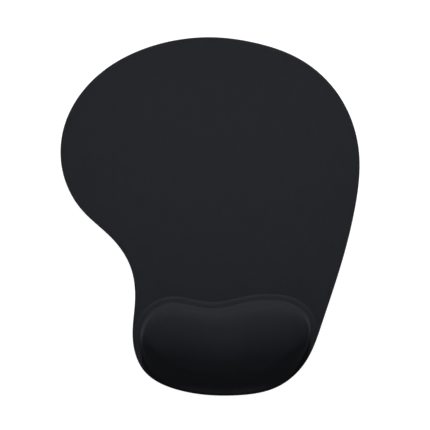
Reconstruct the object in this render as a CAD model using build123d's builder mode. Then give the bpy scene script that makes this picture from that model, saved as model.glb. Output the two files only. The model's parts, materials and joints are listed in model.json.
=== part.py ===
from build123d import *
import os

# Mouse pad with a built-in gel wrist rest: a laminate of flat sheets with a sealed gel
# cushion on the edge nearest the user, under one cloth that covers the pad and the cushion.
#
# Frame, in millimetres: +Z up, +X to the user's right, +Y away from the user.
# The origin is under the middle of the outline, on the desk.

# Thickness of each layer, from the desk up.
BASE_THICKNESS = 1.0
BOND_THICKNESS = 0.1
FOAM_THICKNESS = 2.0
FILM_THICKNESS = 0.25
CLOTH_THICKNESS = 0.5

# Heights of the faces between the layers.
BOND_Z = BASE_THICKNESS
FOAM_Z = BOND_Z + BOND_THICKNESS
DECK_Z = FOAM_Z + FOAM_THICKNESS
GEL_Z = DECK_Z - FILM_THICKNESS
CELL_Z = GEL_Z - FILM_THICKNESS
PAD_TOP_Z = DECK_Z + BOND_THICKNESS + CLOTH_THICKNESS

# The whole outline: a round mousing area, a waist on the left and a tail under the wrist.
PAD_OUTLINE = [
    (0, 125),
    (-46, 117),
    (-82, 95),
    (-101.5, 64),
    (-103.5, 34),
    (-90, 5),
    (-67, -17),
    (-55, -37),
    (-52.5, -60),
    (-54, -86),
    (-46, -108),
    (-21, -121.5),
    (17, -125),
    (48, -118.5),
    (66, -102.5),
    (78, -75),
    (91, -35),
    (101.5, 8),
    (104, 44),
    (89.5, 85),
    (63, 109.5),
    (34, 120.5),
]

# The foot of the cushion: a bean with two lobes on its far side and a dip between them.
CUSHION_OUTLINE = [
    (-49, -84),
    (-46, -72.5),
    (-37.5, -63.5),
    (-27, -60),
    (-13, -62),
    (4, -64),
    (20, -61),
    (34, -58.5),
    (50, -59),
    (62, -63.5),
    (69.5, -73),
    (70, -84),
    (64, -98.5),
    (53, -110),
    (35, -117.5),
    (12, -120),
    (-12, -118),
    (-33, -111),
    (-45.5, -100),
]
FLANGE_WIDTH = 4.5
GROWN_POINTS = 48

BASE_EDGE_RADIUS = 0.4

# The crown of the cloth over the cushion: an arc from back to front whose crest runs from
# side to side, at these heights above the pad for each distance from the middle.
CREST_Y = -77
CROWN_RADIUS = 76
CROWN_REACH = 60
CREST_HEIGHTS = {-58: 14.5, -28: 17.6, 6: 16.8, 40: 17.8, 80: 14}
SHOULDER_RADIUS = 6

# What lies between the gel and the outside of the cloth.
SKIN_THICKNESS = FILM_THICKNESS + BOND_THICKNESS + CLOTH_THICKNESS


def grown(outline, growth):
    """Points along the closed curve through a clockwise outline, moved outwards by growth."""
    curve = Spline(*outline, periodic=True)
    points = []
    for step in range(GROWN_POINTS):
        place = curve.position_at(step / GROWN_POINTS)
        ahead = curve.tangent_at(step / GROWN_POINTS)
        outwards = Vector(-ahead.Y, ahead.X)
        points.append(place + outwards * growth)
    return points


def plate(outline, bottom, top):
    """A flat plate from bottom to top, bounded by the closed curve through an outline."""
    with BuildPart() as slab:
        with BuildSketch(Plane.XY.offset(bottom)):
            with BuildLine():
                Spline(*outline, periodic=True)
            make_face()
        extrude(amount=top - bottom)
    return slab.part


def crown(growth):
    """Everything under the crown of the cushion, with the crown raised by growth."""
    radius = CROWN_RADIUS - SKIN_THICKNESS + growth
    with BuildPart() as block:
        for x, height in CREST_HEIGHTS.items():
            crest = PAD_TOP_Z + height - SKIN_THICKNESS + growth
            edge = crest - radius + (radius**2 - CROWN_REACH**2) ** 0.5
            with BuildSketch(Plane.YZ.offset(x)):
                with BuildLine():
                    back = (CREST_Y + CROWN_REACH, edge)
                    front = (CREST_Y - CROWN_REACH, edge)
                    ThreePointArc(back, (CREST_Y, crest), front)
                    Polyline(front, (front[0], -CROWN_RADIUS), (back[0], -CROWN_RADIUS), back)
                make_face()
        loft()
    return block.part


def dome(growth):
    """The cushion above the floor of its cell, grown outwards from the gel by growth."""
    foot = grown(CUSHION_OUTLINE, growth - SKIN_THICKNESS)
    walls = plate(foot, GEL_Z, GEL_Z + CROWN_RADIUS)
    under_crown = crown(growth)
    with BuildPart() as body:
        add(walls)
        add(under_crown, mode=Mode.INTERSECT)
        shoulder = body.faces().sort_by(Axis.Z)[-1].edges()
        fillet(shoulder, SHOULDER_RADIUS - SKIN_THICKNESS + growth)
    return body.part


whole_pad = plate(PAD_OUTLINE, 0, DECK_Z + CROWN_RADIUS)


def surface(growth):
    """All that lies under a skin of this thickness, laid over the foam and the gel cell."""
    deck = plate(PAD_OUTLINE, FOAM_Z, DECK_Z + growth)
    cushion = dome(FILM_THICKNESS + growth)
    with BuildPart() as body:
        add(deck)
        add(cushion)
    return body.part


# Polyurethane sheet that grips the desk, with the lower edge rounded off.
with BuildPart() as antislip_base:
    add(plate(PAD_OUTLINE, 0, BASE_THICKNESS))
    rim = antislip_base.edges().group_by(Axis.Z)[0]
    fillet(rim, BASE_EDGE_RADIUS)

# Hot-melt film that holds the base to the foam.
with BuildPart() as base_bond_film:
    add(plate(PAD_OUTLINE, BOND_Z, FOAM_Z))

# Closed-cell foam sheet that gives the pad its body, pressed in where the gel cell lies.
flange_outline = grown(CUSHION_OUTLINE, FLANGE_WIDTH)
cell_seat = plate(flange_outline, CELL_Z, DECK_Z)
with BuildPart() as foam_core:
    add(plate(PAD_OUTLINE, FOAM_Z, DECK_Z))
    add(cell_seat, mode=Mode.SUBTRACT)

# Flat floor of the gel cell, with the flange that its dome is welded to.
with BuildPart() as gel_cell_bottom_film:
    add(plate(flange_outline, CELL_Z, GEL_Z))
    add(whole_pad, mode=Mode.INTERSECT)

# The gel that the wrist rests on.
gel_body = dome(0)
with BuildPart() as gel_fill:
    add(gel_body)

# Formed skin of the gel cell: a thin dome with a flat flange all round it.
cell_flange = plate(flange_outline, GEL_Z, DECK_Z)
cell_dome = dome(FILM_THICKNESS)
with BuildPart() as gel_cell_top_film:
    add(cell_flange)
    add(whole_pad, mode=Mode.INTERSECT)
    add(cell_dome)
    add(gel_body, mode=Mode.SUBTRACT)

# Hot-melt film under the cloth, over the foam and the gel cell.
under_bond = surface(0)
under_cloth = surface(BOND_THICKNESS)
with BuildPart() as cloth_bond_film:
    add(under_cloth)
    add(under_bond, mode=Mode.SUBTRACT)

# One sheet of stretch-knit cloth over the mousing area, the flange and the cushion.
under_hand = surface(BOND_THICKNESS + CLOTH_THICKNESS)
with BuildPart() as face_cloth:
    add(under_hand)
    add(under_cloth, mode=Mode.SUBTRACT)

antislip_base.part.label = "antislip_base"
base_bond_film.part.label = "base_bond_film"
foam_core.part.label = "foam_core"
gel_cell_bottom_film.part.label = "gel_cell_bottom_film"
gel_fill.part.label = "gel_fill"
gel_cell_top_film.part.label = "gel_cell_top_film"
cloth_bond_film.part.label = "cloth_bond_film"
face_cloth.part.label = "face_cloth"

os.makedirs("parts", exist_ok=True)
export_step(antislip_base.part, "parts/antislip_base.step")
export_step(base_bond_film.part, "parts/base_bond_film.step")
export_step(foam_core.part, "parts/foam_core.step")
export_step(gel_cell_bottom_film.part, "parts/gel_cell_bottom_film.step")
export_step(gel_fill.part, "parts/gel_fill.step")
export_step(gel_cell_top_film.part, "parts/gel_cell_top_film.step")
export_step(cloth_bond_film.part, "parts/cloth_bond_film.step")
export_step(face_cloth.part, "parts/face_cloth.step")
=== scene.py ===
import json
import math

import bpy
import numpy as np
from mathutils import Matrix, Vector
from mathutils.geometry import delaunay_2d_cdt
from mathutils.kdtree import KDTree


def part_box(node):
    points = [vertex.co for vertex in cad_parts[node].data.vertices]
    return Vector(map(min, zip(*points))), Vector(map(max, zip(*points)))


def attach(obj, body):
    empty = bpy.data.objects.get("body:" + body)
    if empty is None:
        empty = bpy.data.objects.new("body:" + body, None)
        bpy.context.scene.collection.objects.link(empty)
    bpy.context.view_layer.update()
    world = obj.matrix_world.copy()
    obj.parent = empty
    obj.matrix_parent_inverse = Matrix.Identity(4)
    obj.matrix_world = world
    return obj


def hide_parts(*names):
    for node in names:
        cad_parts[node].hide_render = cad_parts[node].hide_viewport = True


# Mouse pad with a built-in gel wrist rest. One cloth lies over a foam sheet and a sealed gel
# cell. Shapes are worked out in millimetres on one triangulation that every layer shares,
# so the layers meet face to face, and turned into metres when a mesh is made.

MM = 0.001
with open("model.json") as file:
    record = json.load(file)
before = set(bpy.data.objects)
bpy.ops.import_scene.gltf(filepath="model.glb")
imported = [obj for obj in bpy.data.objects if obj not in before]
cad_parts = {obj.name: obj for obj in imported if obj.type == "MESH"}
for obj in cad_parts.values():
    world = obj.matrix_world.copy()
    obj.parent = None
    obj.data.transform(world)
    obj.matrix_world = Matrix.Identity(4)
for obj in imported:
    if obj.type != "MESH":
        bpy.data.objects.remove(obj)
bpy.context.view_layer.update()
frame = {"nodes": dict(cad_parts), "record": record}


# ---------------------------------------------------------------- sizes, from the frame

def levels(node):
    """Lowest and highest height of a CAD node, in millimetres."""
    low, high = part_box(node)
    return low.z / MM, high.z / MM


BASE_TOP = levels("antislip_base")[1]
FOAM_BOTTOM, DECK = levels("foam_core")
CELL_FLOOR, GEL_FLOOR = levels("gel_cell_bottom_film")
CLOTH_BOTTOM, CLOTH_PEAK = levels("face_cloth")
PAD_TOP = next(m["pos_m"][2] for m in frame["record"]["mounts"] if m["name"] == "mouse_face") / MM
FILM = GEL_FLOOR - CELL_FLOOR
BOND = CLOTH_BOTTOM - DECK
CLOTH = PAD_TOP - CLOTH_BOTTOM
SKIN = CLOTH + BOND + FILM

# ---------------------------------------------------------------- shape of the soft parts

# The cushion: a round wall that rises from its foot, and a crown with two lobes and a valley
# that rolls over into a straight ramp down to the near edge.
WALL_SLOPE = 5.5
WALL_REACH = 3.6
WALL_SHARE = 0.85
SHOULDER_REACH = 9.0
NEAR_WALL_SHARE = 0.4
NEAR_SHOULDER_REACH = 16.0
NEAR_FROM = -82.0
NEAR_TO = -106.0
CREST_Y = -78.0
CROWN_BACK_RADIUS = 60.0
CROWN_BACK_CURL = 0.0004
CROWN_FRONT_RADIUS = 46.0
RAMP_ANGLE = math.radians(27)
VALLEY_X = 8.0
VALLEY_WIDTH = 17.0
VALLEY_DEPTH = 1.3
VALLEY_SET_BACK = 4.5
END_REACH = 60.0
END_LIMIT = 1.1
END_DROP = 2.0
END_SET_OUT = 8.0
LOWEST_CROWN = 0.01
WALL_ROUND = 2.0
WALL_ROUND_SHARE = 0.9
FOOT_ROUND = 1.3
NEAR_FOOT_ROUND = 3.0
FRONT_SPREAD = 3.8
FRONT_FROM = -95.0
FRONT_TO = -118.0

# The welded flange of the gel cell shows through the cloth as a low step round the foot.
FLANGE_WIDTH = 4.5
FLANGE_SLACK = 0.05
FLANGE_MARGIN = 0.8
STEP_HEIGHT = 0.8
STEP_FROM = 4.2
STEP_TO = 2.6
STEP_SLOPE = 0.14
NEAR_STEP_SHARE = 0.2

# The die that cut the outline pressed the cloth down along it.
EDGE_PRESS = 0.4
EDGE_WIDTH = 1.6
FOAM_BULGE = 0.14

# Heights this near count as one height, and places alike to this many decimals as one place.
SAME_LEVEL = 1e-3
SAME_PLACE_DIGITS = 4

# Distances between the points of a curve: as it is followed, and where it is eased first.
CURVE_STEP = 0.25
EASED_STEP = 2.0
SPAN_PIECES = 24


def smooth_step(x):
    """0 below 0 and 1 above 1, with a smooth rise between them."""
    x = np.clip(x, 0, 1)
    return x * x * (3 - 2 * x)


def loop_area(points):
    """Area inside a closed run of points, positive if it runs anticlockwise."""
    x, y = points[:, 0], points[:, 1]
    return 0.5 * np.sum(x * np.roll(y, -1) - y * np.roll(x, -1))


class Loop:
    """A closed curve, evenly resampled, that tells how far inside it a point lies."""

    def __init__(self, corners):
        if loop_area(corners) < 0:
            corners = corners[::-1]
        self.points = evenly(smooth_closed(corners), CURVE_STEP)
        ahead = np.roll(self.points, -1, 0) - np.roll(self.points, 1, 0)
        ahead /= np.linalg.norm(ahead, axis=1)[:, None]
        self.outwards = np.stack([ahead[:, 1], -ahead[:, 0]], 1)
        self.tree = KDTree(len(self.points))
        for i, (x, y) in enumerate(self.points):
            self.tree.insert((x, y, 0), i)
        self.tree.balance()

    def nearest(self, points):
        """Number of the curve's point that is nearest to each of these."""
        return np.array([self.tree.find((x, y, 0))[1] for x, y in points])

    def inside(self, points):
        """Distance of each point from the curve, positive inside it."""
        nearest = self.nearest(points)
        away = points - self.points[nearest]
        return -np.sum(away * self.outwards[nearest], 1)

    def ring(self, outwards):
        """Every few points of the curve, moved outwards."""
        return (self.points + self.outwards * outwards)[::RING_STRIDE]


def smooth_closed(corners):
    """A closed curve of cubic spans through the corners."""
    before, after = np.roll(corners, 1, 0), np.roll(corners, -1, 0)
    gap_in = np.linalg.norm(corners - before, axis=1)[:, None]
    gap_out = np.linalg.norm(after - corners, axis=1)[:, None]
    speed = (corners - before) / gap_in * gap_out + (after - corners) / gap_out * gap_in
    speed /= gap_in + gap_out
    t = np.linspace(0, 1, SPAN_PIECES, endpoint=False)[None, :, None]
    p0, p1 = corners[:, None], after[:, None]
    m0, m1 = (speed * gap_out)[:, None], (np.roll(speed, -1, 0) * gap_out)[:, None]
    spans = (2 * t**3 - 3 * t**2 + 1) * p0 + (t**3 - 2 * t**2 + t) * m0
    spans = spans + (3 * t**2 - 2 * t**3) * p1 + (t**3 - t**2) * m1
    return spans.reshape(-1, 2)


def evenly(points, spacing):
    """A closed run of points resampled to equal steps of about this spacing."""
    closed = np.vstack([points, points[:1]])
    length = np.concatenate([[0], np.cumsum(np.linalg.norm(np.diff(closed, axis=0), axis=1))])
    count = max(3, round(length[-1] / spacing))
    places = np.arange(count) * length[-1] / count
    return np.stack([np.interp(places, length, closed[:, k]) for k in (0, 1)], 1)


def open_edges(faces):
    """The edges that only one of these triangles has, each in that triangle's direction."""
    edges = set()
    for a, b, c in faces:
        for edge in ((a, b), (b, c), (c, a)):
            if edge[::-1] in edges:
                edges.remove(edge[::-1])
            else:
                edges.add(edge)
    return edges


def rim(node, level):
    """The outer edge of a CAD node's flat face at this height, as points in order."""
    mesh = frame["nodes"][node].data
    mesh.calc_loop_triangles()
    where = np.array([v.co for v in mesh.vertices]) / MM
    ids = {}
    same = [ids.setdefault(tuple(place), len(ids)) for place in where.round(SAME_PLACE_DIGITS)]
    spot = {new: where[old, :2] for old, new in enumerate(same)}
    corners = [t.vertices for t in mesh.loop_triangles]
    level_faces = [c for c in corners if all(abs(where[i, 2] - level) < SAME_LEVEL for i in c)]
    follow = dict(open_edges([[same[i] for i in c] for c in level_faces]))
    start = next(iter(follow))
    order = [start]
    while follow[order[-1]] != start:
        order.append(follow[order[-1]])
    return np.array([spot[i] for i in order])


pad = Loop(rim("base_bond_film", BASE_TOP))
gel_foot = Loop(rim("gel_fill", GEL_FLOOR))
to_front = smooth_step((gel_foot.points[:, 1] - FRONT_FROM) / (FRONT_TO - FRONT_FROM))
foot_points = gel_foot.points + gel_foot.outwards * (SKIN + FRONT_SPREAD * to_front)[:, None]
foot = Loop(evenly(foot_points, EASED_STEP))


def soft_min(a, b, width):
    """The lower of two heights, with the corner between them rounded over this width."""
    near = np.maximum(width - np.abs(a - b), 0) / np.maximum(width, 1e-6)
    return np.minimum(a, b) - near**2 * width / 4


def crown_height(x, y):
    """Height of the cushion's crown over the pad, before the walls cut it off."""
    valley = np.exp(-(((x - VALLEY_X) / VALLEY_WIDTH) ** 2))
    to_end = np.minimum(np.abs((x - VALLEY_X) / END_REACH), END_LIMIT) ** 4
    crest = CLOTH_PEAK - PAD_TOP - VALLEY_DEPTH * valley - END_DROP * to_end
    back = y - (CREST_Y - VALLEY_SET_BACK * valley + END_SET_OUT * to_end)
    round_reach = CROWN_FRONT_RADIUS * math.sin(RAMP_ANGLE)
    rolled = np.clip(-back, 0, round_reach)
    ramp = np.maximum(-back - round_reach, 0) * math.tan(RAMP_ANGLE)
    front_drop = CROWN_FRONT_RADIUS - np.sqrt(CROWN_FRONT_RADIUS**2 - rolled**2) + ramp
    behind = np.maximum(back, 0)
    back_drop = behind**2 / (2 * CROWN_BACK_RADIUS) + CROWN_BACK_CURL * behind**3 / 3
    return crest - front_drop - back_drop


def nearness(y):
    """0 over most of the pad, rising to 1 along the edge nearest the user."""
    return smooth_step((y - NEAR_FROM) / (NEAR_TO - NEAR_FROM))


def rise(inside_foot, y):
    """Share of the crown's height that the wall and the shoulder have reached."""
    near = nearness(y)
    wall_share = WALL_SHARE + (NEAR_WALL_SHARE - WALL_SHARE) * near
    reach = SHOULDER_REACH + (NEAR_SHOULDER_REACH - SHOULDER_REACH) * near
    wall = np.sqrt(1 - (1 - np.clip(inside_foot / WALL_REACH, 0, 1)) ** 2)
    shoulder = 1 - (1 - np.clip(inside_foot / reach, 0, 1)) ** 2
    return wall_share * wall + (1 - wall_share) * shoulder


def cushion_height(points, inside_foot):
    """Height over the pad of the cushion, below zero outside its foot, and of its crown."""
    crown = np.maximum(crown_height(points[:, 0], points[:, 1]), LOWEST_CROWN)
    rounded = crown * rise(inside_foot, points[:, 1])
    round_width = np.minimum(WALL_ROUND, WALL_ROUND_SHARE * rounded)
    return soft_min(WALL_SLOPE * inside_foot, rounded, round_width), crown


def cloth_height(points):
    """Height of the outside of the cloth at each point."""
    inside_foot = foot.inside(points)
    dome = cushion_height(points, inside_foot)[0]
    out = -inside_foot
    deck = STEP_HEIGHT * smooth_step((STEP_FROM - out) / (STEP_FROM - STEP_TO))
    deck = deck + STEP_SLOPE * np.clip(STEP_TO - out, 0, STEP_TO)
    near = nearness(points[:, 1])
    deck = deck * (1 + (NEAR_STEP_SHARE - 1) * near)
    lift = -soft_min(-dome, -deck, FOOT_ROUND + (NEAR_FOOT_ROUND - FOOT_ROUND) * near)
    edge = np.clip(pad.inside(points) / EDGE_WIDTH, 0, 1)
    press = EDGE_PRESS * (1 - np.sqrt(1 - (1 - edge) ** 2))
    return PAD_TOP + lift - press


# ---------------------------------------------------------------- the shared triangulation

# Rings of points follow the outline and the foot of the cushion at these distances inside
# them, and a staggered grid fills what is left.
EDGE_RINGS = (0.12, 0.3, 0.55, 0.9, 1.3, 1.8, 2.6)
FOOT_RINGS = (
    *np.arange(-6.3, -1.6, 0.6),
    *np.arange(-1.5, 5.0, 0.3),
    *np.arange(5.3, 11.5, 0.8),
)
RING_STRIDE = 4
RING_SLACK = 0.1
CUSHION_GRID = 1.4
DECK_GRID = 2.6
CLEAR_OF_RINGS = 0.75
CLEAR_OF_EDGE_RINGS = 1.125
CUT_TOLERANCE = 1e-5


def staggered(grid):
    """Points of a triangular grid over the whole pad."""
    low, high = pad.points.min(0), pad.points.max(0)
    rows = np.arange(low[1], high[1], grid * math.sqrt(0.75))
    columns = np.arange(low[0], high[0], grid)
    return np.array([(x + (i % 2) * grid / 2, y) for i, y in enumerate(rows) for x in columns])


def pad_points():
    """Every point of the shared triangulation, the outline's own first, and how many those are."""
    outline = pad.ring(0)
    found = [outline]
    for inset in EDGE_RINGS:
        found.append(pad.ring(-inset))
    inner_edge = EDGE_RINGS[-1]
    for inset in FOOT_RINGS:
        ring = foot.ring(-inset)
        ring = ring[np.abs(foot.inside(ring) - inset) < RING_SLACK]
        found.append(ring[pad.inside(ring) > inner_edge + CLEAR_OF_RINGS])
    deck = staggered(DECK_GRID)
    deck = deck[pad.inside(deck) > inner_edge + CLEAR_OF_EDGE_RINGS]
    found.append(deck[foot.inside(deck) < FOOT_RINGS[0] - CLEAR_OF_RINGS])
    crown = staggered(CUSHION_GRID)
    found.append(crown[foot.inside(crown) > FOOT_RINGS[-1] + CLEAR_OF_RINGS])
    return np.vstack(found), len(outline)


def triangulated(points, rim_count):
    """Points and anticlockwise triangles inside the rim that the first points make."""
    rim_edges = [(i, (i + 1) % rim_count) for i in range(rim_count)]
    cut = delaunay_2d_cdt([Vector(p) for p in points], rim_edges, [], 1, CUT_TOLERANCE)
    flat = np.array([tuple(p) for p in cut[0]])
    faces = np.array([face for face in cut[2] if len(face) == 3])
    a, b, c = (flat[faces[:, k]] for k in range(3))
    first, second = b - a, c - a
    turn = first[:, 0] * second[:, 1] - first[:, 1] * second[:, 0]
    faces[turn < 0] = faces[turn < 0][:, ::-1]
    return flat, faces


shared, triangles = triangulated(*pad_points())
outer_z = cloth_height(shared)
inside_foot = foot.inside(shared)
inside_pad = pad.inside(shared)

# Each point of the cloth has a place in the flat knit. On the wall it moves outwards by what
# is left to climb, so that the stitches keep their size there, and on the flat pad that slide
# dies away with distance and is evened out where two sides of the cushion's foot meet.
KNIT_SLIDE_SHARE = 0.9
KNIT_SLIDE_REACH = 120.0
KNIT_EVEN_FROM = 5.0
KNIT_EVEN_OVER = 15.0
KNIT_EVENINGS = 120


def evened(values, share):
    """Values at the shared points, averaged over and over with their neighbours' by a share."""
    start = triangles.ravel()
    end = triangles[:, (1, 2, 0)].ravel()
    count = np.maximum(np.bincount(start, minlength=len(values)), 1)[:, None]
    for _ in range(KNIT_EVENINGS):
        sums = [np.bincount(start, values[end, k], len(values)) for k in (0, 1)]
        values = values + (np.stack(sums, 1) / count - values) * share[:, None]
    return values


near_foot = foot.nearest(shared)
foot_crown = np.maximum(crown_height(foot.points[:, 0], foot.points[:, 1]), 0)[near_foot]
dome, crown = cushion_height(shared, inside_foot)
left_to_climb = 1 - np.clip(dome / crown, 0, 1)
slide = (1 - np.clip(-inside_foot / KNIT_SLIDE_REACH, 0, 1)) ** 2 * left_to_climb
slid = foot.outwards[near_foot] * (KNIT_SLIDE_SHARE * foot_crown * slide)[:, None]
unrolled = shared + evened(slid, smooth_step((-inside_foot - KNIT_EVEN_FROM) / KNIT_EVEN_OVER))


def vertex_normals(points):
    """Unit normals of the shared triangulation at these places."""
    a, b, c = (points[triangles[:, k]] for k in range(3))
    face = np.cross(b - a, c - a)
    total = np.zeros_like(points)
    for k in range(3):
        np.add.at(total, triangles[:, k], face)
    return total / np.linalg.norm(total, axis=1)[:, None]


# ---------------------------------------------------------------- faces between the layers

# Each layer lies under the one above by its thickness, square to the cloth, and straight
# down near the edge, where the pad was cut.
STRAIGHT_DOWN_NEAR_EDGE = 4.0
outside = np.column_stack([shared, outer_z])
inwards = -vertex_normals(outside)
near_edge = smooth_step(1 - inside_pad / STRAIGHT_DOWN_NEAR_EDGE)[:, None]
inwards = inwards * (1 - near_edge) + np.array([0, 0, -1.0]) * near_edge
inwards /= np.linalg.norm(inwards, axis=1)[:, None]

cloth_under = outside + inwards * CLOTH
bond_under = outside + inwards * (CLOTH + BOND)
film_under = outside + inwards * SKIN

# The floor of the cell is flat under the gel and lies against the skin in the flange.
deck_z = np.where(inside_foot < 0, outer_z - PAD_TOP, 0)
flange_lift = deck_z * smooth_step(1 + inside_foot / FOOT_ROUND)
floor_top = film_under.copy()
floor_top[:, 2] = np.where(inside_foot < -FOOT_ROUND, film_under[:, 2], GEL_FLOOR + flange_lift)
film_under[:, 2] = np.maximum(film_under[:, 2], floor_top[:, 2])
floor_under = floor_top - np.array([0, 0, FILM])

in_flange = (inside_foot > -FLANGE_WIDTH - FLANGE_SLACK) & (inside_pad > FLANGE_MARGIN)
in_gel = (inside_foot > -FOOT_ROUND) & (inside_pad > FLANGE_MARGIN)
foam_top = np.where(in_flange[:, None], floor_under, bond_under)


SHARP_ANGLE = math.radians(50)


def solid_between(name, upper, lower, keep=None, wall=(), faces=triangles):
    """A closed mesh between two faces of one triangulation, over the kept triangles.

    Each entry of wall adds a ring to the side, as a share of the height from lower to upper
    and a distance that it bulges outwards.
    """
    if keep is not None:
        faces = faces[keep[faces].all(1)]
    used = np.unique(faces)
    place = np.full(len(upper), -1)
    place[used] = np.arange(len(used))
    faces = place[faces]
    upper, lower = upper[used], lower[used]
    points = [upper, lower]
    count = len(used)
    polygons = [tuple(f) for f in faces] + [tuple(f[::-1] + count) for f in faces]
    edges = open_edges(faces)
    starts = sorted({a for a, _ in edges})
    level_of = {a: {0: a, len(wall) + 1: a + count} for a in starts}
    top = 2 * count
    flow = {}
    for a, b in edges:
        flow.setdefault(a, np.zeros(2))
        flow.setdefault(b, np.zeros(2))
        step = upper[b][:2] - upper[a][:2]
        sideways = np.array([step[1], -step[0]])
        flow[a] += sideways
        flow[b] += sideways
    for ring, (share, bulge) in enumerate(wall, 1):
        made_ring = []
        for a in starts:
            out = flow[a] / max(np.linalg.norm(flow[a]), 1e-9) * bulge
            at = upper[a] * share + lower[a] * (1 - share)
            made_ring.append(at + np.array([out[0], out[1], 0]))
            level_of[a][ring] = top
            top += 1
        points.append(np.array(made_ring))
    for a, b in edges:
        for ring in range(len(wall) + 1):
            near, far = level_of[a], level_of[b]
            polygons.append((near[ring], near[ring + 1], far[ring + 1], far[ring]))
    mesh = bpy.data.meshes.new(name)
    mesh.from_pydata((np.vstack(points) * MM).tolist(), [], [list(map(int, p)) for p in polygons])
    mesh.validate()
    piece = bpy.data.objects.new(name, mesh)
    bpy.context.scene.collection.objects.link(piece)
    mesh.shade_smooth()
    mesh.set_sharp_from_angle(angle=SHARP_ANGLE)
    return piece


face_cloth = solid_between("face_cloth_knit", outside, cloth_under)
cloth_place = face_cloth.data.attributes.new("cloth_place", "FLOAT_VECTOR", "POINT")
flat_cloth = np.column_stack([unrolled, np.zeros(len(unrolled))]) * MM
cloth_place.data.foreach_set("vector", np.vstack([flat_cloth, flat_cloth]).ravel())
bond_layer = solid_between("cloth_bond_layer", cloth_under, bond_under)
cell_skin = solid_between("gel_cell_skin", bond_under, film_under, in_flange)
gel = solid_between("gel_cushion", film_under, floor_top, in_gel)
cell_floor = solid_between("gel_cell_floor", floor_top, floor_under, in_flange)

foam_bottom = np.column_stack([shared, np.full(len(shared), FOAM_BOTTOM)])
FOAM_WALL = ((0.85, 0.6 * FOAM_BULGE), (0.5, FOAM_BULGE), (0.15, 0.6 * FOAM_BULGE))
foam = solid_between("foam_sheet", foam_top, foam_bottom, wall=FOAM_WALL)

# ---------------------------------------------------------------- the base, ribbed underneath

RIB_PITCH = 3.0
RIB_DEPTH = 0.3
RIB_SWAY = 1.1
RIB_WAVE = 11.0
RIB_MARGIN = 3.5
RIB_FADE = 1.5
BASE_ROUND = 0.45
BASE_RINGS = (0.04, 0.13, 0.27, 0.45, 1.2, 2.2, 3.2)
RIB_GRID = (0.5, 2.2)
CLEAR_OF_BASE_RINGS = 0.4


def base_mesh():
    """The grip sheet: flat above, with low wavy ribs inside a plain margin underneath."""
    rings = [pad.ring(-inset) for inset in (0.0, *BASE_RINGS)]
    low, high = pad.points.min(0), pad.points.max(0)
    columns = np.arange(low[0], high[0], RIB_GRID[0])
    rows = np.arange(low[1], high[1], RIB_GRID[1])
    grid = np.stack(np.meshgrid(columns, rows), 2).reshape(-1, 2)
    grid[:, 0] -= RIB_SWAY * np.sin(2 * math.pi * grid[:, 1] / RIB_WAVE)
    grid = grid[pad.inside(grid) > BASE_RINGS[-1] + CLEAR_OF_BASE_RINGS]
    flat, faces = triangulated(np.vstack([*rings, grid]), len(rings[0]))
    inset = pad.inside(flat)
    sway = RIB_SWAY * np.sin(2 * math.pi * flat[:, 1] / RIB_WAVE)
    wave = 0.5 - 0.5 * np.cos(2 * math.pi * (flat[:, 0] + sway - low[0]) / RIB_PITCH)
    ribs = RIB_DEPTH * wave * smooth_step((inset - RIB_MARGIN) / RIB_FADE)
    curl = 1 - np.clip(inset / BASE_ROUND, 0, 1)
    under = ribs + BASE_ROUND * (1 - np.sqrt(1 - curl**2))
    above = np.column_stack([flat, np.full(len(flat), BASE_TOP)])
    below = np.column_stack([flat, under])
    return solid_between("grip_base", above, below, faces=faces)


base = base_mesh()

# ---------------------------------------------------------------- materials


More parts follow.
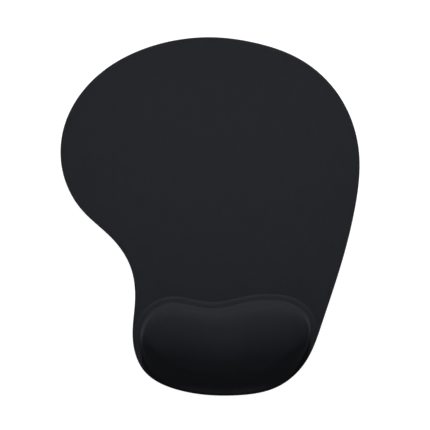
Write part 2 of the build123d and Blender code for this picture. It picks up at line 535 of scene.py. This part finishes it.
class Shader:
    """A node material under construction."""

    def __init__(self, name, colour, roughness):
        self.material = bpy.data.materials.new(name)
        self.material.use_nodes = True
        self.tree = self.material.node_tree
        self.surface = self.tree.nodes["Principled BSDF"]
        self.surface.inputs["Base Color"].default_value = (*colour, 1)
        self.surface.inputs["Roughness"].default_value = roughness
        self.material.diffuse_color = (*colour, 1)
        self.place = self.node("ShaderNodeTexCoord").outputs["Object"]

    def node(self, kind, **settings):
        """A new node with these settings."""
        made = self.tree.nodes.new(kind)
        for key, value in settings.items():
            setattr(made, key, value)
        return made

    def link(self, output, socket):
        """A wire from an output to a socket."""
        self.tree.links.new(output, socket)

    def math(self, operation, a, b=0.0, c=0.0):
        """One sum on numbers or outputs."""
        made = self.node("ShaderNodeMath", operation=operation)
        for socket, value in zip(made.inputs, (a, b, c)):
            if isinstance(value, (int, float)):
                socket.default_value = value
            else:
                self.link(value, socket)
        return made.outputs[0]

    def axis(self, name, place):
        """One coordinate of a place, in millimetres."""
        split = self.node("ShaderNodeSeparateXYZ")
        self.link(place, split.inputs[0])
        return self.math("DIVIDE", split.outputs[name], MM)

    def noise(self, size, detail=3.0, stretch=(1, 1, 1)):
        """Cloudy noise whose features are about this many millimetres across."""
        scaled = self.node("ShaderNodeMapping")
        scaled.inputs["Scale"].default_value = [1 / (s * size * MM) for s in stretch]
        self.link(self.place, scaled.inputs["Vector"])
        made = self.node("ShaderNodeTexNoise")
        made.inputs["Scale"].default_value = 1.0
        made.inputs["Detail"].default_value = detail
        self.link(scaled.outputs["Vector"], made.inputs["Vector"])
        return made.outputs["Fac"]

    def cells(self, size):
        """Distance inside cells about this many millimetres across."""
        scaled = self.node("ShaderNodeMapping")
        scaled.inputs["Scale"].default_value = [1 / (size * MM)] * 3
        self.link(self.place, scaled.inputs["Vector"])
        made = self.node("ShaderNodeTexVoronoi")
        made.inputs["Scale"].default_value = 1.0
        self.link(scaled.outputs["Vector"], made.inputs["Vector"])
        return made.outputs["Distance"]

    def spread(self, value, low, high):
        """A number from 0 to 1 carried over to a range."""
        made = self.node("ShaderNodeMapRange")
        made.inputs["To Min"].default_value = low
        made.inputs["To Max"].default_value = high
        self.link(value, made.inputs["Value"])
        return made.outputs["Result"]

    def tint(self, value, dark, light):
        """The base colour between two colours."""
        ramp = self.node("ShaderNodeValToRGB")
        for stop, place, colour in zip(ramp.color_ramp.elements, (0.25, 0.75), (dark, light)):
            stop.position = place
            stop.color = (*colour, 1)
        self.link(value, ramp.inputs["Fac"])
        self.link(ramp.outputs["Color"], self.surface.inputs["Base Color"])

    def bump(self, height, depth, strength):
        """Relief of this depth in millimetres, on top of any relief before it."""
        made = self.node("ShaderNodeBump")
        made.inputs["Strength"].default_value = strength
        made.inputs["Distance"].default_value = depth * MM
        self.link(height, made.inputs["Height"])
        before = self.surface.inputs["Normal"]
        if before.is_linked:
            self.link(before.links[0].from_socket, made.inputs["Normal"])
        self.link(made.outputs["Normal"], before)

    def rough(self, value, low, high):
        """The roughness between two values."""
        self.link(self.spread(value, low, high), self.surface.inputs["Roughness"])

    def put_on(self, piece):
        """This material as the piece's only one."""
        piece.data.materials.clear()
        piece.data.materials.append(self.material)


# The knit: its two colours, the width of a column of stitches, the height of a row and how
# far the two legs of a stitch slant.
CLOTH_DARK = (0.0105, 0.0111, 0.0142)
CLOTH_LIGHT = (0.0135, 0.0143, 0.0182)
WALE = 0.42
COURSE = 0.34
STITCH_SLANT = 1.3


def knit_material():
    """Black stretch knit: columns of small V stitches, a matt yarn, a faint sheen and painted
    shade in the gaps between stitches.
    """
    knit = Shader("black_stretch_knit", CLOTH_LIGHT, 0.8)
    place = knit.node("ShaderNodeAttribute", attribute_name="cloth_place").outputs["Vector"]
    wale = knit.math("DIVIDE", knit.axis("X", place), WALE)
    across = knit.math("ABSOLUTE", knit.math("SUBTRACT", knit.math("FRACT", wale), 0.5))
    row = knit.math("DIVIDE", knit.axis("Y", place), COURSE)
    course = knit.math("MULTIPLY_ADD", across, STITCH_SLANT, row)
    along = knit.math("ABSOLUTE", knit.math("SINE", knit.math("MULTIPLY", course, math.pi)))
    leg = knit.math("SINE", knit.math("MULTIPLY", across, 2 * math.pi))
    stitch = knit.math("MULTIPLY", knit.math("SQRT", along), knit.math("SQRT", leg))
    cloud = knit.noise(5.0, 5.0, stretch=(1, 1.8, 1))
    fuzz = knit.noise(0.25, 2.0)
    # Base colour: a random cloudy tone and fuzz, plus painted shade that darkens the gaps between
    # stitches where the stitch relief is low.
    tone_and_stitch_shade = knit.math("MULTIPLY_ADD", stitch, 0.3, knit.math("MULTIPLY", cloud, 0.8))
    knit.tint(knit.math("MULTIPLY_ADD", fuzz, 0.15, tone_and_stitch_shade), CLOTH_DARK, CLOTH_LIGHT)
    knit.rough(cloud, 0.74, 0.88)
    knit.bump(stitch, 0.06, 0.8)
    knit.bump(fuzz, 0.03, 0.5)
    knit.surface.inputs["Specular IOR Level"].default_value = 0.1
    knit.surface.inputs["Sheen Weight"].default_value = 0.03
    knit.surface.inputs["Sheen Roughness"].default_value = 0.35
    knit.surface.inputs["Sheen Tint"].default_value = (0.82, 0.85, 1.0, 1)
    return knit


def foam_material():
    """Black closed-cell foam, cut so that its fine cells show."""
    foam_look = Shader("black_cell_foam", (0.02, 0.02, 0.022), 0.9)
    cell = foam_look.cells(0.28)
    patch = foam_look.noise(4.0)
    foam_look.tint(patch, (0.014, 0.014, 0.016), (0.028, 0.028, 0.031))
    foam_look.rough(patch, 0.82, 0.95)
    foam_look.bump(cell, 0.09, 0.8)
    foam_look.surface.inputs["Specular IOR Level"].default_value = 0.3
    return foam_look


def base_material():
    """Moulded polyurethane with a fine grain and a gloss that varies in patches."""
    grip = Shader("black_grip_polyurethane", (0.016, 0.016, 0.017), 0.6)
    grain = grip.noise(0.22, 2.0)
    patch = grip.noise(14.0, 4.0)
    grip.tint(patch, (0.012, 0.012, 0.013), (0.02, 0.02, 0.0215))
    grip.rough(patch, 0.5, 0.68)
    grip.bump(grain, 0.03, 0.6)
    return grip


def film_material(name, dark, light):
    """Thin plastic film with faint flow marks."""
    film = Shader(name, light, 0.4)
    flow = film.noise(3.0, 2.0, stretch=(1, 4, 1))
    film.tint(flow, dark, light)
    film.rough(flow, 0.32, 0.5)
    film.bump(flow, 0.02, 0.4)
    return film


def gel_material():
    """Soft gel, milky and faintly blue, with a slow waviness."""
    look = Shader("clear_gel", (0.5, 0.55, 0.6), 0.2)
    wave = look.noise(12.0, 2.0)
    look.tint(wave, (0.42, 0.48, 0.54), (0.55, 0.6, 0.66))
    look.rough(wave, 0.14, 0.24)
    look.bump(wave, 0.3, 0.3)
    look.surface.inputs["Subsurface Weight"].default_value = 0.4
    look.surface.inputs["Subsurface Scale"].default_value = 0.004
    return look


bond_look = film_material("dark_hot_melt_film", (0.014, 0.0138, 0.0135), (0.022, 0.0215, 0.021))
skin_look = film_material("satin_cell_film", (0.02, 0.02, 0.022), (0.034, 0.034, 0.037))
knit_material().put_on(face_cloth)
foam_material().put_on(foam)
base_material().put_on(base)
gel_material().put_on(gel)
bond_look.put_on(bond_layer)
bond_look.put_on(frame["nodes"]["base_bond_film"])
skin_look.put_on(cell_skin)
skin_look.put_on(cell_floor)

# ---------------------------------------------------------------- what each piece stands for

PIECES = (
    (face_cloth, "face_cloth", "face_cloth"),
    (bond_layer, "cloth_bond_film", "bond_film"),
    (cell_skin, "gel_cell_top_film", "cell_film"),
    (gel, "gel_fill", "gel"),
    (cell_floor, "gel_cell_bottom_film", "cell_film"),
    (foam, "foam_core", "foam"),
    (base, "antislip_base", "base_rubber"),
)
for piece, node, slot in PIECES:
    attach(piece, "root")
    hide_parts(node)

# ---------------------------------------------------------------- floor, light and camera

# The camera looks straight down. It sees this much of the plane of the pad's top, and its
# view is centred here.
VIEW_WIDTH = 299.8 * MM
VIEW_CENTRE = (3.4 * MM, 0.9 * MM)
LENS = 100.0
SENSOR = 36.0
FLOOR_SIZE = 6.0

bpy.ops.mesh.primitive_plane_add(size=FLOOR_SIZE)
floor = bpy.context.object
floor.name = "studio_floor"
# The pad must not be lit from the glowing floor, or its edge would turn pale.
floor.visible_diffuse = False
floor.visible_glossy = False
paper = Shader("white_paper", (0.2, 0.2, 0.2), 0.9)
paper.tint(paper.noise(60.0), (0.19, 0.19, 0.19), (0.21, 0.21, 0.21))
paper.surface.inputs["Specular IOR Level"].default_value = 0.1
paper.surface.inputs["Emission Color"].default_value = (1, 1, 1, 1)
paper.surface.inputs["Emission Strength"].default_value = 0.96
paper.put_on(floor)

LIGHT_DISTANCE = 1.6


def soft_light(name, aim, azimuth, elevation, size, spread, power):
    """A broad area light aimed at a point on the pad, azimuth 0 being the far side."""
    data = bpy.data.lights.new(name, "AREA")
    data.shape = "RECTANGLE"
    data.size, data.size_y = size
    data.spread = math.radians(spread)
    data.energy = power
    lamp = bpy.data.objects.new(name, data)
    a, e = math.radians(azimuth), math.radians(elevation)
    away = Vector((math.sin(a) * math.cos(e), math.cos(a) * math.cos(e), math.sin(e)))
    lamp.location = Vector(aim) + away * LIGHT_DISTANCE
    lamp.rotation_mode = "QUATERNION"
    lamp.rotation_quaternion = away.to_track_quat("Z", "Y")
    bpy.context.scene.collection.objects.link(lamp)


KEY_AIM = (0.01, 0.03, 0)
FILL_AIM = (0.01, -0.09, 0)
soft_light("key", KEY_AIM, azimuth=0, elevation=33, size=(0.45, 0.12), spread=15, power=0.56)
soft_light("fill", FILL_AIM, azimuth=225, elevation=35, size=(0.8, 0.5), spread=60, power=0.1)

# The surroundings glow a little, more below the horizon than above it.
GLOW_FROM_ROOM = 0.24
GLOW_FROM_FLOOR = 0.32
HORIZON_BLEND = 0.1
world = bpy.data.worlds.new("studio")
bpy.context.scene.world = world
world.use_nodes = True
surround = world.node_tree.nodes["Background"]
surround.inputs["Color"].default_value = (1, 1, 1, 1)
direction = world.node_tree.nodes.new("ShaderNodeTexCoord").outputs["Generated"]
upwards = world.node_tree.nodes.new("ShaderNodeSeparateXYZ")
world.node_tree.links.new(direction, upwards.inputs[0])
glow = world.node_tree.nodes.new("ShaderNodeMapRange")
glow.inputs["From Min"].default_value = -HORIZON_BLEND
glow.inputs["From Max"].default_value = HORIZON_BLEND
glow.inputs["To Min"].default_value = GLOW_FROM_FLOOR
glow.inputs["To Max"].default_value = GLOW_FROM_ROOM
world.node_tree.links.new(upwards.outputs["Z"], glow.inputs["Value"])
world.node_tree.links.new(glow.outputs["Result"], surround.inputs["Strength"])

camera = bpy.data.objects.new("camera", bpy.data.cameras.new("camera"))
bpy.context.scene.collection.objects.link(camera)
camera.data.lens = LENS
camera.data.sensor_width = SENSOR
camera.location = (*VIEW_CENTRE, PAD_TOP * MM + VIEW_WIDTH * LENS / SENSOR)
bpy.context.scene.camera = camera
bpy.context.scene.view_settings.view_transform = "Standard"
